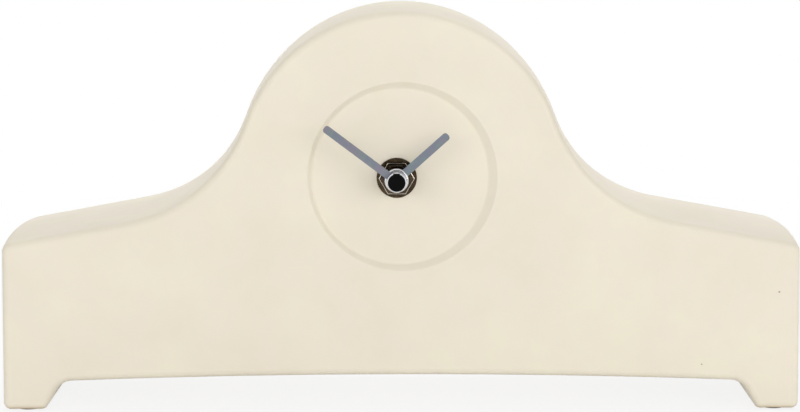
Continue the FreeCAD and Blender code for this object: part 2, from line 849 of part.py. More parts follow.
def circuit_board():
    """Board on the back of the bridge, in the upper right corner of the housing."""
    return block(board_right_x - board_width, board_right_x, bridge_back_y, board_back_y,
                 board_top_z - board_height, board_top_z)


def chip_cover():
    """Low drop of resin over the chip."""
    spot = Vector(board_right_x - board_width + 2 * chip_radius, 0, board_middle_z)
    ball = (chip_radius ** 2 + chip_height ** 2) / (2 * chip_height)
    drop = Part.makeSphere(ball, Vector(spot.x, board_back_y + chip_height - ball, spot.z))
    room = rod(spot, board_back_y, board_back_y + chip_height + overrun, chip_radius + overrun)
    return drop.common(room)


def crystal_can():
    """Round can of the quartz crystal, lying on the board."""
    start = Vector(board_right_x - 2 * crystal_radius - crystal_length,
                   board_back_y + crystal_radius, board_middle_z)
    return Part.makeCylinder(crystal_radius, crystal_length, start, Vector(1, 0, 0))


def battery_can():
    """The cell's steel can, with its button at the right."""
    start = Vector(cell_left_x, cell_y, cell_z)
    body_length = cell_length - cell_button_length
    along = Vector(1, 0, 0)
    body = Part.makeCylinder(cell_radius - cell_sleeve, body_length, start, along)
    button = Part.makeCylinder(cell_button_radius, cell_length, start, along)
    return joined(body, button)


def battery_sleeve():
    start = Vector(cell_left_x + cell_crimp, cell_y, cell_z)
    length = cell_length - cell_button_length - 2 * cell_crimp
    along = Vector(1, 0, 0)
    body = Part.makeCylinder(cell_radius, length, start, along)
    return body.cut(Part.makeCylinder(cell_radius - cell_sleeve, length, start, along))


def contact_plate(left):
    half = strip_width / 2
    return block(left, left + strip_thickness, cell_y - half, cell_y + half, cell_z - half,
                 cell_z + half)


def contact_positive():
    return contact_plate(hub.x + inner_half - strip_thickness)


def contact_negative():
    """Flat strip with a bowed leaf that presses on the cell's flat end."""
    left = hub.x - inner_half
    bow_radius = cell_left_x - strip_gap - left
    plate = contact_plate(left)
    spot = Vector(left, cell_y, cell_z - spring_width / 2)
    up = Vector(0, 0, 1)
    bow = Part.makeCylinder(bow_radius, spring_width, spot, up)
    bow = bow.cut(Part.makeCylinder(bow_radius - strip_thickness, spring_width, spot, up))
    keep = block(left, left + bow_radius + overrun, cell_y - bow_radius, cell_y + bow_radius,
                 spot.z, spot.z + spring_width)
    return joined(plate, bow.common(keep))


makers = [case_shell, foot_pads, movement_gasket, shaft_washer, hex_nut, threaded_bushing,
          hour_collet, hour_hand, minute_collet, minute_hand, hand_cap, movement_base,
          movement_cover, train_bridge, hour_wheel, minute_arbor, motion_wheel, setting_knob,
          centre_wheel, third_wheel, seconds_wheel, step_wheel, rotor_pinion, rotor_magnet,
          stator, coil_core, coil_bobbin, coil_winding, circuit_board, chip_cover, crystal_can,
          battery_can, battery_sleeve, contact_positive, contact_negative]

os.makedirs("parts", exist_ok=True)
for maker in makers:
    shape = maker()
    name = maker.__name__
    solids = len(shape.Solids)
    print(name, "solids", solids, "volume", round(shape.Volume, 2), "valid", shape.isValid())
    shape.exportStep("parts/" + name + ".step")
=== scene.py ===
import json
import math

import bmesh
import bpy
from mathutils import Matrix, Vector


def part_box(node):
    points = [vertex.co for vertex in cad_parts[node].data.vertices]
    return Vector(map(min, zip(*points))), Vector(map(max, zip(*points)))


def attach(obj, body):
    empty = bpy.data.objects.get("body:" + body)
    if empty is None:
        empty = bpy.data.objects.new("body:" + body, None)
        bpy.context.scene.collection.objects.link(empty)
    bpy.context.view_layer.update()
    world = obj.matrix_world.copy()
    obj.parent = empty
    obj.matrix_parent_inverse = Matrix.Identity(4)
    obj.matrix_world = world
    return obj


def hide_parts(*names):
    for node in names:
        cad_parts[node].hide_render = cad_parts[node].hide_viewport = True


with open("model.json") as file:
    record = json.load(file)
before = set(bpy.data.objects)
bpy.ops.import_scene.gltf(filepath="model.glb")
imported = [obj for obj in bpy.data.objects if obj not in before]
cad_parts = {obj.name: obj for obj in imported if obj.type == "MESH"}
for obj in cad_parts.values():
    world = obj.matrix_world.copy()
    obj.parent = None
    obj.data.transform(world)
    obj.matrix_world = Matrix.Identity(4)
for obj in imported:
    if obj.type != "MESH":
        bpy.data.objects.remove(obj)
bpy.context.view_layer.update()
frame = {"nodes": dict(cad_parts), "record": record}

# A cream ceramic tambour mantel clock on a pale studio floor. Metres, in the frame of the packed
# model: X to the right of a person who faces the dial, -Y out of the dial, Z up.

mm = 0.001
nodes = frame["nodes"]


def middle(node):
    """The centre of a CAD node's box."""
    low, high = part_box(node)
    return (low + high) / 2


# Places that the CAD model gives
hub = middle("threaded_bushing")
knob = middle("setting_knob")
case_low, case_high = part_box("case_shell")
wall_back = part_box("movement_gasket")[0].y
bushing_low, bushing_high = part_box("threaded_bushing")
cover_low, cover_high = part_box("movement_cover")
cover_back = cover_high.y
cell_low, cell_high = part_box("battery_can")

# Pits in the glaze of the front, darkened with painted shade: x, z and radius
glaze_pits = ((135.9 * mm, 43.6 * mm, 0.45 * mm), (108.4 * mm, 17.2 * mm, 0.36 * mm))
pit_floor_share = 0.4

# The glaze is wiped off the feet up to feet_bare, and off the back rim over rim_bare. It is whole
# again from feet_glazed and rim_glazed on. It is rougher on the floor of the hollow behind.
feet_bare = 0.3 * mm
feet_glazed = 1.6 * mm
rim_bare = 0.2 * mm
rim_glazed = 1.6 * mm
hollow_start = 6.0 * mm
hollow_floor = 18.0 * mm

# Finer patterns of the other finishes
chrome_ridge = 0.14 * mm
wire_pitch = 0.16 * mm
track_pitch = 1.6 * mm
track_wander = 7.0 * mm
sleeve_band_share = 0.3
sleeve_band_blur = 0.2 * mm

# Hardware on the dial. The nut is turned by nut_turn degrees.
nut_turn = 30
nut_side_cuts = 7
nut_bore = 3.9 * mm
nut_edge = 0.16 * mm
thread_pitch = 0.6 * mm
thread_depth = 0.22 * mm
crest_start_share = 0.4
crest_end_share = 0.6
bushing_bore = 2.55 * mm
washer_edge = 0.15 * mm

# Hands: length from the axis, width, inner radius of the ring, and degrees clockwise from twelve
hour_length = 24.4 * mm
hour_width = 2.85 * mm
hour_ring = 3.79 * mm
hour_angle = 48.3
minute_length = 31.9 * mm
minute_width = 2.75 * mm
minute_ring = 3.06 * mm
minute_angle = -53.0
tip_round_share = 0.8
hand_edge = 0.11 * mm
ring_width = 0.5 * mm
hour_hub_edge = 0.07 * mm
minute_hub_edge = 0.05 * mm
cap_edge = 0.05 * mm

# Details on the back of the movement, which start relief_root under its surface. The upright of
# the plus stands prouder by sign_step, so that its two bars share no face.
relief_root = 0.2 * mm
rim_proud = 0.4 * mm
rim_width = 0.85 * mm
rim_edge = 0.12 * mm
cover_corner = 4.0 * mm
knob_edge = 0.08 * mm
# Section of the ring round the knob: radius, and height above the cover's back
guard_section = ((5.5 * mm, -relief_root), (7.0 * mm, -relief_root), (6.7 * mm, 0.5 * mm),
                 (6.4 * mm, 0.7 * mm), (5.8 * mm, 0.7 * mm), (5.6 * mm, 0.6 * mm))
panel_width = 20.0 * mm
panel_height = 12.0 * mm
panel_from_side = 5.35 * mm
panel_from_top = 12.9 * mm
panel_proud = 0.25 * mm
panel_edge = 0.2 * mm
sign_above_cell = 4.0 * mm
sign_from_end = 3.5 * mm
sign_arm = 1.5 * mm
sign_half = 0.28 * mm
sign_proud = 0.2 * mm
sign_step = 0.01 * mm
sign_edge = 0.08 * mm
catch_from_end = 14.0 * mm
catch_half = 2.6 * mm
catch_front = 3.4 * mm
catch_back = 1.8 * mm
catch_root = 0.2 * mm
catch_proud = 0.45 * mm
catch_edge = 0.15 * mm

# Meshes: points nearer than weld_gap are joined, faces within flat_angle degrees are made one,
# and edges sharper than smooth_angle degrees stay sharp
weld_gap = 0.0005 * mm
flat_angle = 0.2
smooth_angle = 35

# Studio. The floor is nearly white to the camera, and pure white beyond the clock's shadow.
floor_size = 9.0
floor_cloud = 0.4
floor_dim = (0.90, 0.90, 0.90, 1)
floor_bright = (0.92, 0.92, 0.92, 1)
near_white_share = 0.85
shadow_reach = 0.25
white_reach = 0.6
world_light = 0.48
room_darkness = 0.9
room_side_share = 0.30
room_centre_share = 0.85
# Lamps: place, width, height, watts, and whether gloss shows them
softboxes = {
    "softbox_left": (Vector((-1.0, -1.4, 0.42)), 1.2, 0.8, 5.1, True),
    "softbox_right": (Vector((1.0, -1.4, 0.42)), 1.2, 0.8, 8.7, True),
    "softbox_front": (Vector((0, -1.5, 0.2)), 0.6, 0.5, 2.4, False),
    "softbox_above": (Vector((0, 0.5, 0.8)), 0.8, 0.5, 3.0, False),
    "softbox_behind": (Vector((0, 1.7, 0.26)), 1.6, 0.5, 14.0, False),
}

# Camera: a 108 mm lens, 861 mm from a point on the case's front, which looks down at 7.5 degrees
aim_below_hub = 9.95 * mm
aim = Vector((0, case_low.y, hub.z - aim_below_hub))
camera_distance = 861 * mm
camera_pitch = math.radians(7.54)
camera_roll = math.radians(0.1)
near_clip = 0.01
sensor_width = 36.0
focal_pixels = 2410.0
picture_width = 800


# Materials

class Field:
    """A socket of a material, or of the world, with arithmetic that adds Math nodes."""

    def __init__(self, finish, socket):
        self.finish = finish
        self.socket = socket

    def math(self, operation, *others):
        values = dict(enumerate((self,) + others))
        return self.finish.node("ShaderNodeMath", {"operation": operation}, values)

    def __add__(self, other):
        return self.math("ADD", other)

    def __mul__(self, other):
        return self.math("MULTIPLY", other)

    def __sub__(self, other):
        return self.math("SUBTRACT", other)

    def __rsub__(self, other):
        return (self * -1).math("ADD", other)

    __radd__ = __add__
    __rmul__ = __mul__

    def between(self, low, high):
        """0 at or below low, 1 at or above high, smooth in between. Low may be the larger."""
        values = {"Value": self, "From Min": low, "From Max": high}
        return self.finish.node("ShaderNodeMapRange", {"interpolation_type": "SMOOTHSTEP"}, values)


class Finish:
    """A material's nodes, added one call at a time."""

    def __init__(self, name, owner=None):
        self.owner = owner or bpy.data.materials.new(name)
        self.owner.use_nodes = True
        self.tree = self.owner.node_tree
        self.tree.nodes.clear()

    def node(self, kind, settings, values, output=0):
        """Adds a node. Its settings come first, then the values or links of its sockets."""
        made = self.tree.nodes.new(kind)
        for name, setting in settings.items():
            setattr(made, name, setting)
        for name, value in values.items():
            if isinstance(value, Field):
                self.tree.links.new(value.socket, made.inputs[name])
            else:
                made.inputs[name].default_value = value
        if output is not None:
            return Field(self, made.outputs[output])

    def place(self, axis=None):
        """Object coordinates, or one of them."""
        spot = self.node("ShaderNodeTexCoord", {}, {}, "Object")
        if axis is None:
            return spot
        return self.node("ShaderNodeSeparateXYZ", {}, {"Vector": spot}, axis)

    def noise(self, size, detail=2.0, rough=0.5, stretch=(1, 1, 1)):
        """Soft noise around 0.5 with features of a size in metres."""
        spot = self.place()
        if stretch != (1, 1, 1):
            spot = self.node("ShaderNodeMapping", {}, {"Vector": spot, "Scale": stretch})
        values = {"Vector": spot, "Scale": 1 / size, "Detail": detail, "Roughness": rough}
        return self.node("ShaderNodeTexNoise", {}, values)

    def spots(self, size, low, high):
        """1 in small round spots spread at random, one to a cell of the given size."""
        values = {"Vector": self.place(), "Scale": 1 / size}
        return self.node("ShaderNodeTexVoronoi", {}, values).between(high, low)

    def ridges(self, distance, pitch):
        """A wave of 0 to 1 that rises and falls once in each pitch of a distance."""
        return (distance * (2 * math.pi / pitch)).math("SINE") * 0.5 + 0.5

    def mix(self, factor, first, second):
        """A colour between two colours."""
        values = {0: factor, 6: first, 7: second}
        return self.node("ShaderNodeMix", {"data_type": "RGBA"}, values, 2)

    def bump(self, height, distance):
        """A normal from a height of 0 to 1, which stands for a distance in metres."""
        values = {"Height": height, "Distance": distance, "Strength": 1.0}
        return self.node("ShaderNodeBump", {}, values)

    def shell(self, **values):
        """Ends the material in a Principled shader. Keyword names stand for its socket names."""
        sockets = {name.replace("_", " "): value for name, value in values.items()}
        surface = self.node("ShaderNodeBsdfPrincipled", {}, sockets)
        self.node("ShaderNodeOutputMaterial", {}, {"Surface": surface}, None)
        return self.owner


def shade(red, green, blue):
    """A colour given in display values from 0 to 255, as the shader wants it."""
    linear = []
    for value in (red, green, blue):
        share = value / 255
        linear.append(share / 12.92 if share <= 0.04045 else ((share + 0.055) / 1.055) ** 2.4)
    return (*linear, 1.0)


def glazed_ceramic():
    """Cream satin glaze: faint clouds, pits and pinholes with painted shade, bare back rim, wiped
    feet.
    """
    finish = Finish("cream_glaze")
    across = finish.place("X")
    depth = finish.place("Y")
    height = finish.place("Z")

    cloud = finish.noise(42 * mm, detail=3.0).between(0.36, 0.64)
    tint = finish.noise(15 * mm, rough=0.6).between(0.40, 0.60)
    colour = finish.mix(cloud, shade(232, 224, 205), shade(236, 229, 209))
    colour = finish.mix(tint * 0.55, colour, shade(235, 225, 210))

    # Pinholes and pits: one mask for their dip in the bump and for the painted shade in them
    pinhole_and_shade = finish.spots(23 * mm, 0.006, 0.013) * finish.noise(60 * mm).between(0.55, 0.6)
    for pit_x, pit_z, pit_radius in glaze_pits:
        from_x = across - pit_x
        from_z = height - pit_z
        reach = (from_x * from_x + from_z * from_z).math("SQRT")
        pit_and_shade = reach.between(pit_radius, pit_radius * pit_floor_share)
        pit_and_shade = pit_and_shade * depth.between(wall_back, case_low.y)
        pinhole_and_shade = pinhole_and_shade.math("MAXIMUM", pit_and_shade)
    # Painted shade darkens the colour of the pinholes and pits
    colour = finish.mix(pinhole_and_shade * 0.8, colour, shade(150, 136, 112))

    body = finish.mix(finish.noise(1.2 * mm, detail=3.0), shade(214, 196, 168), shade(226, 210, 184))
    feet = 1 - height.between(case_low.z + feet_bare, case_low.z + feet_glazed)
    colour = finish.mix(feet * 0.9, colour, body)
    rim = depth.between(case_high.y - rim_glazed, case_high.y - rim_bare)
    rim = rim * finish.noise(7 * mm, detail=3.0).between(0.3, 0.75)
    colour = finish.mix(rim * 0.45, colour, shade(222, 206, 178))
    hollow = depth.between(wall_back, wall_back + hollow_start)
    hollow = hollow * (1 - height.between(0, hollow_floor))

    peel = finish.noise(2.4 * mm, detail=1.0)
    wave = finish.noise(30 * mm, detail=1.0)
    grit = finish.noise(0.6 * mm)
    skin = wave * 0.86 + peel * 0.12 - pinhole_and_shade * 0.4 + grit * feet * 0.08
    rough = finish.noise(9 * mm) * 0.10 + 0.44 + feet * 0.3 + rim * 0.12 + hollow * 0.04
    return finish.shell(Base_Color=colour, Roughness=rough, Normal=finish.bump(skin, 0.25 * mm),
                        IOR=1.45, Specular_IOR_Level=0.35)


def hand_metal():
    """Flat grey lacquer over rolled metal, with faint clouds of blue, green and violet."""
    finish = Finish("grey_hand_lacquer")
    green = finish.noise(3.2 * mm).between(0.42, 0.62)
    violet = finish.noise(7.0 * mm, rough=0.6).between(0.45, 0.62)
    colour = finish.mix(green, shade(121, 128, 141), shade(122, 136, 139))
    colour = finish.mix(violet * 0.6, colour, shade(136, 128, 142))
    grain = finish.noise(0.16 * mm)
    rough = finish.noise(1.3 * mm) * 0.12 + 0.36
    return finish.shell(Base_Color=colour, Metallic=0.35, Roughness=rough,
                        Normal=finish.bump(grain, 0.006 * mm))


def dark_bronze(name, dark, light, rough_low, grain_size, edge_highlight_colour=None):
    """Polished dark metal: turning lines, painted reflection streaks, painted highlight on marked
    edges.
    """
    finish = Finish(name)
    cloud = finish.noise(2.2 * mm).between(0.35, 0.65)
    # Horizontal streaks that darken the colour: painted reflection
    reflection_streak = finish.noise(0.9 * mm, rough=0.6, stretch=(0.15, 1, 1)).between(0.35, 0.65)
    colour = finish.mix(cloud, dark, light)
    colour = finish.mix(reflection_streak * 0.5, colour, dark)
    grain = finish.noise(grain_size, rough=0.6, stretch=(0.12, 1, 1))
    wear = finish.noise(0.7 * mm).between(0.55, 0.75)
    rough = wear * 0.14 + rough_low
    if edge_highlight_colour:
        # The rounded edges that a piece marks get a bright colour: a painted highlight
        edge = finish.node("ShaderNodeAttribute", {"attribute_name": "edge"}, {}, "Fac")
        colour = finish.mix(edge * (0.75 + 0.25 * cloud), colour, edge_highlight_colour)
        rough = rough + edge * 0.06
    return finish.shell(Base_Color=colour, Metallic=1.0, Roughness=rough,
                        Normal=finish.bump(grain, 0.012 * mm))


def bright_chrome():
    """Polished plated brass with fine turning lines round the hub's axis."""
    finish = Finish("bright_chrome")
    across = finish.place("X") - hub.x
    height = finish.place("Z") - hub.z
    radius = (across * across + height * height).math("SQRT")
    haze = finish.noise(1.1 * mm).between(0.45, 0.7)
    colour = finish.mix(haze, shade(224, 224, 225), shade(198, 199, 202))
    rough = haze * 0.08 + 0.10
    return finish.shell(Base_Color=colour, Metallic=1.0, Roughness=rough,
                        Normal=finish.bump(finish.ridges(radius, chrome_ridge), 0.002 * mm))


def moulded_plastic(name, dark, light, rough_high, grain_size=0.35 * mm, grain_depth=0.02 * mm,
                    gloss=0.5):
    """Moulded plastic or rubber with a fine spark-eroded grain and faint flow clouds."""
    finish = Finish(name)
    cloud = finish.noise(11 * mm).between(0.35, 0.65)
    colour = finish.mix(cloud, dark, light)
    grain = finish.noise(grain_size, detail=1.0)
    rub = finish.noise(4 * mm, detail=3.0).between(0.5, 0.75)
    rough = rough_high - rub * 0.12
    return finish.shell(Base_Color=colour, Roughness=rough, Normal=finish.bump(grain, grain_depth),
                        Specular_IOR_Level=gloss)


def plain_metal(name, dark, light, rough_low, stretch=(1, 1, 1)):
    """Rolled or turned metal with a fine grain."""
    finish = Finish(name)
    cloud = finish.noise(3 * mm, detail=3.0).between(0.35, 0.65)
    colour = finish.mix(cloud, dark, light)
    grain = finish.noise(0.25 * mm, rough=0.6, stretch=stretch)
    rough = finish.noise(1.5 * mm) * 0.15 + rough_low
    return finish.shell(Base_Color=colour, Metallic=1.0, Roughness=rough,
                        Normal=finish.bump(grain, 0.006 * mm))


def cell_wrap():
    """Shrunk sleeve of the cell: graphite, with a pale band at the button end."""
    finish = Finish("cell_wrap")
    low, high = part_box("battery_sleeve")
    band_start = high.x - sleeve_band_share * (high.x - low.x)
    band = finish.place("X").between(band_start, band_start + sleeve_band_blur)
    body = finish.mix(finish.noise(6 * mm), shade(58, 60, 66), shade(66, 68, 75))
    colour = finish.mix(band, body, shade(196, 198, 200))
    wrinkle = finish.noise(1.2 * mm, stretch=(0.3, 1, 1))
    rough = finish.noise(3 * mm) * 0.12 + 0.22
    return finish.shell(Base_Color=colour, Roughness=rough, Metallic=band * 0.6,
                        Normal=finish.bump(wrinkle, 0.02 * mm))


def copper_wire():
    """Enamelled wire wound round the coil: one fine ridge for each turn."""
    finish = Finish("copper_wire")
    cloud = finish.noise(1.4 * mm)
    colour = finish.mix(cloud, shade(176, 92, 48), shade(202, 118, 66))
    turns = finish.ridges(finish.place("Z"), wire_pitch)
    return finish.shell(Base_Color=colour, Metallic=0.8, Roughness=cloud * 0.12 + 0.24,
                        Normal=finish.bump(turns, 0.05 * mm))


def board_lacquer():
    """Green board with pale tracks under the lacquer."""
    finish = Finish("board_lacquer")
    wander = finish.noise(4 * mm, detail=0.0) * track_wander
    lines = ((finish.place("Z") + wander) * (2 * math.pi / track_pitch)).math("SINE")
    track = lines.between(0.55, 0.75)
    base = finish.mix(finish.noise(3 * mm), shade(28, 84, 54), shade(36, 98, 62))
    colour = finish.mix(track, base, shade(84, 138, 88))
    return finish.shell(Base_Color=colour, Roughness=track * 0.1 + 0.3,
                        Normal=finish.bump(track, 0.03 * mm))


black_grain = moulded_plastic("black_movement_plastic", shade(26, 26, 28), shade(34, 34, 36), 0.58)
black_gloss = moulded_plastic("black_hub_plastic", shade(2, 2, 2), shade(4, 4, 4), 0.18,
                              grain_size=0.5 * mm, grain_depth=0.004 * mm, gloss=0.08)
# The nut's rounded edges are coloured bright as a painted highlight
dark_nut = dark_bronze("dark_nut", shade(64, 55, 46), shade(92, 78, 62), 0.08, 0.4 * mm,
                       edge_highlight_colour=shade(232, 226, 216))
bronze = dark_bronze("bronzed_washer", shade(68, 57, 43), shade(90, 75, 56), 0.26, 0.5 * mm)
chrome = bright_chrome()
lacquer = hand_metal()

# The finish of each material slot of the record
finishes = {
    "ceramic": glazed_ceramic(),
    "pad_rubber": moulded_plastic("pad_rubber", shade(92, 88, 82), shade(104, 99, 92), 0.85),
    "gasket_rubber": moulded_plastic("gasket_rubber", shade(34, 34, 34), shade(44, 43, 42), 0.8),
    "bronzed_steel": bronze,
    "polished_chrome": chrome,
    "grey_hands": lacquer,
    "black_plastic": black_grain,
    "white_plastic": moulded_plastic("white_wheel_plastic", shade(226, 225, 219),
                                     shade(236, 235, 229), 0.5),
    "rotor_brass": plain_metal("train_brass", shade(196, 164, 104), shade(214, 184, 122), 0.2),
    "magnet_metal": plain_metal("magnet_metal", shade(92, 92, 95), shade(112, 112, 116), 0.4),
    "stator_steel": plain_metal("stator_steel", shade(170, 171, 174), shade(190, 191, 194), 0.3,
                                stretch=(1, 1, 0.1)),
    "copper_wire": copper_wire(),
    "board_green": board_lacquer(),
    "chip_resin": moulded_plastic("chip_resin", shade(20, 20, 20), shade(28, 27, 26), 0.3),
    "cell_steel": plain_metal("cell_steel", shade(176, 174, 170), shade(200, 198, 194), 0.22),
    "cell_wrap": cell_wrap(),
}

for part in frame["record"]["subparts"]:
    nodes[part["node"]].data.materials.clear()
    nodes[part["node"]].data.materials.append(finishes[part["material_slot"]])


# Tools for the pieces

def merged(node):
    """A bmesh of a CAD node's mesh with its points joined and its flat faces made whole."""
    shape = bmesh.new()
    shape.from_mesh(nodes[node].data)
    bmesh.ops.remove_doubles(shape, verts=shape.verts, dist=weld_gap)
    bmesh.ops.dissolve_limit(shape, angle_limit=math.radians(flat_angle), verts=shape.verts,
                             edges=shape.edges)
    return shape


def soften(shape, width, least_angle=25):
    """Rounds the sharp edges of a bmesh and marks the rounded faces as edge."""
    sharp = []
    for edge in shape.edges:
        if len(edge.link_faces) == 2 and edge.calc_face_angle() > math.radians(least_angle):
            sharp.append(edge)
    mark = shape.faces.layers.float.new("edge")
    rounded = bmesh.ops.bevel(shape, geom=sharp, offset=width, affect="EDGES", segments=2,
                              profile=0.5, material=-1, clamp_overlap=True)
    for face in rounded["faces"]:
        face[mark] = 1.0


def block(shape, low, high):
    """Adds a box between two corners."""
    made = bmesh.ops.create_cube(shape, size=1.0)
    bmesh.ops.scale(shape, vec=high - low, verts=made["verts"])
    bmesh.ops.translate(shape, vec=(low + high) / 2, verts=made["verts"])


def edges_along_depth(shape, least_length):
    """The edges of a bmesh that run back by more than a length."""
    return [edge for edge in shape.edges
            if abs(edge.verts[0].co.y - edge.verts[1].co.y) > least_length]


def turned(profile, centre=hub, steps=64):
    """A closed bmesh turned round an axis that runs back, from (radius, depth) points."""
    shape = bmesh.new()
    points = [shape.verts.new((centre.x + radius, depth, centre.z)) for radius, depth in profile]
    edges = [shape.edges.new(pair) for pair in zip(points, points[1:] + points[:1])]
    bmesh.ops.spin(shape, geom=points + edges, cent=centre, axis=(0, 1, 0), dvec=(0, 0, 0),
                   angle=2 * math.pi, steps=steps, use_merge=True, use_duplicate=False)
    bmesh.ops.remove_doubles(shape, verts=shape.verts, dist=weld_gap)
    bmesh.ops.recalc_face_normals(shape, faces=shape.faces)
    return shape


def piece(name, shape, body, slot, material, *replaced):
    """An object of the clock made from a bmesh, which rides on a body."""
    mesh = bpy.data.meshes.new(name)
    shape.to_mesh(mesh)
    shape.free()
    mesh.shade_smooth()
    mesh.set_sharp_from_angle(angle=math.radians(smooth_angle))
    mesh.materials.append(material)
    made = bpy.data.objects.new(name, mesh)
    bpy.context.scene.collection.objects.link(made)
    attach(made, body)
    if replaced:
        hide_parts(*replaced)
    return made


def flat_shading(made):
    """Keeps broad flat faces flat next to rounded edges."""
    weighted = made.modifiers.new("flat_faces", "WEIGHTED_NORMAL")
    weighted.keep_sharp = True


def softened_copy(name, node, body, slot, material, width):
    """A CAD node's shape with its sharp edges rounded."""
    shape = merged(node)
    soften(shape, width)
    flat_shading(piece(name, shape, body, slot, material, node))


# Hardware on the dial

def thread_profile(low, high, outer):
    """Half section of the threaded tube: V grooves outside, plain bore inside."""
    root = outer - thread_depth
    points = [(bushing_bore, low), (root, low)]
    for turn in range(int((high - low) / thread_pitch)):
        start = low + turn * thread_pitch
        points.append((outer, start + thread_pitch * crest_start_share))
        points.append((outer, start + thread_pitch * crest_end_share))
        points.append((root, start + thread_pitch))
    points.append((root, high))
    points.append((bushing_bore, high))
    return points


def hexagon_nut():
    """Hexagon with a round bore, flats above and below, and its edges rounded."""
    low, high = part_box("hex_nut")
    turn = math.radians(nut_turn)
    shape = bmesh.new()
    outer = bmesh.ops.create_circle(shape, segments=6, radius=(high.x - low.x) / 2)
    bmesh.ops.rotate(shape, verts=outer["verts"], cent=(0, 0, 0),
                     matrix=Matrix.Rotation(turn, 3, "Z"))
    bmesh.ops.subdivide_edges(shape, edges=shape.edges[:], cuts=nut_side_cuts)
    bmesh.ops.create_circle(shape, segments=6 * (nut_side_cuts + 1), radius=nut_bore,
                            matrix=Matrix.Rotation(turn, 4, "Z"))
    front = bmesh.ops.bridge_loops(shape, edges=shape.edges[:])
    back = bmesh.ops.extrude_face_region(shape, geom=front["faces"])
    moved = [vert for vert in back["geom"] if isinstance(vert, bmesh.types.BMVert)]
    bmesh.ops.translate(shape, verts=moved, vec=(0, 0, high.y - low.y))
    bmesh.ops.rotate(shape, verts=shape.verts, cent=(0, 0, 0),
                     matrix=Matrix.Rotation(math.radians(-90), 3, "X"))
    bmesh.ops.translate(shape, verts=shape.verts, vec=(hub.x, low.y, hub.z))
    bmesh.ops.recalc_face_normals(shape, faces=shape.faces)
    soften(shape, nut_edge, least_angle=40)
    return shape


def hand_bar(name, node, body, length, width, angle, ring):
    """Flat bar with a round tip, and a ring round its hub."""
    low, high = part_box(node)
    shape = bmesh.new()
    half = width / 2
    block(shape, Vector((hub.x + ring, low.y, hub.z - half)),
          Vector((hub.x + length, high.y, hub.z + half)))
    tip = [edge for edge in edges_along_depth(shape, hand_edge)
           if min(vert.co.x for vert in edge.verts) > hub.x + ring + length / 2]
    bmesh.ops.bevel(shape, geom=tip, offset=half * tip_round_share, affect="EDGES", segments=8,
                    profile=0.5, material=-1)
    soften(shape, hand_edge, least_angle=40)
    bmesh.ops.rotate(shape, verts=shape.verts, cent=hub,
                     matrix=Matrix.Rotation(math.radians(angle - 90), 3, "Y"))
    outer = ring + ring_width
    collar = turned([(ring, low.y), (outer, low.y), (outer, high.y), (ring, high.y)])
    loose = bpy.data.meshes.new("collar")
    collar.to_mesh(loose)
    collar.free()
    shape.from_mesh(loose)
    bpy.data.meshes.remove(loose)
    flat_shading(piece(name, shape, body, "grey_hands", lacquer, node))


bushing_radius = (bushing_high.x - bushing_low.x) / 2
piece("bushing_thread",
      turned(thread_profile(bushing_low.y, bushing_high.y, bushing_radius), steps=72),
      "case", "bronzed_steel", bronze, "threaded_bushing")
piece("nut_rounded", hexagon_nut(), "case", "bronzed_steel", dark_nut, "hex_nut")
softened_copy("washer_rounded", "shaft_washer", "case", "bronzed_steel", bronze, washer_edge)
hand_bar("hour_hand_bar", "hour_hand", "hour", hour_length, hour_width, hour_angle, hour_ring)
hand_bar("minute_hand_bar", "minute_hand", "minute", minute_length, minute_width, minute_angle,
         minute_ring)
softened_copy("hour_hub_polished", "hour_collet", "hour", "polished_chrome", chrome,
              hour_hub_edge)
softened_copy("minute_hub_polished", "minute_collet", "minute", "polished_chrome", chrome,
              minute_hub_edge)
softened_copy("minute_cap", "hand_cap", "minute", "black_plastic", black_gloss, cap_edge)


# Movement at the back

def raised_bar(name, left, right, bottom, top, proud, edge_width):
    """A raised bar or panel moulded on the back of the cover, with its edges rounded."""
    shape = bmesh.new()
    block(shape, Vector((left, cover_back - relief_root, bottom)),
          Vector((right, cover_back + proud, top)))
    soften(shape, edge_width)
    piece(name, shape, "case", "black_plastic", black_grain)


def rim_frame():
    """Raised rim round the back of the cover."""
    shape = bmesh.new()
    block(shape, Vector((cover_low.x, cover_back - relief_root, cover_low.z)),
          Vector((cover_high.x, cover_back + rim_proud, cover_high.z)))
    bmesh.ops.bevel(shape, geom=edges_along_depth(shape, relief_root / 2), offset=cover_corner,
                    affect="EDGES", segments=6, profile=0.5, material=-1)
    ends = [face for face in shape.faces if abs(face.normal.y) > 0.9]
    bmesh.ops.inset_region(shape, faces=ends, thickness=rim_width, use_even_offset=True)
    loops = [edge for face in ends for edge in face.edges]
    bmesh.ops.delete(shape, geom=ends, context="FACES_ONLY")
    bmesh.ops.bridge_loops(shape, edges=loops)
    bmesh.ops.recalc_face_normals(shape, faces=shape.faces)
    soften(shape, rim_edge)
    piece("cover_rim", shape, "case", "black_plastic", black_grain)


def cell_signs():
    """A plus above the cell's button end and a minus above its flat end."""
    middle_z = cell_high.z + sign_above_cell
    plus_x = cell_high.x - sign_from_end
    minus_x = cell_low.x + sign_from_end
    raised_bar("sign_plus_level", plus_x - sign_arm, plus_x + sign_arm,
               middle_z - sign_half, middle_z + sign_half, sign_proud, sign_edge)
    raised_bar("sign_plus_upright", plus_x - sign_half, plus_x + sign_half,
               middle_z - sign_arm, middle_z + sign_arm, sign_proud + sign_step, sign_edge)
    raised_bar("sign_minus", minus_x - sign_arm, minus_x + sign_arm,
               middle_z - sign_half, middle_z + sign_half, sign_proud, sign_edge)


def cover_catch(name, side, outward, height):
    """One catch that holds the cover to the base, across their parting."""
    inner = side - outward * catch_root
    outer = side + outward * catch_proud
    shape = bmesh.new()
    block(shape, Vector((min(inner, outer), cover_low.y - catch_front, height - catch_half)),
          Vector((max(inner, outer), cover_low.y + catch_back, height + catch_half)))
    soften(shape, catch_edge)
    piece(name, shape, "case", "black_plastic", black_grain)


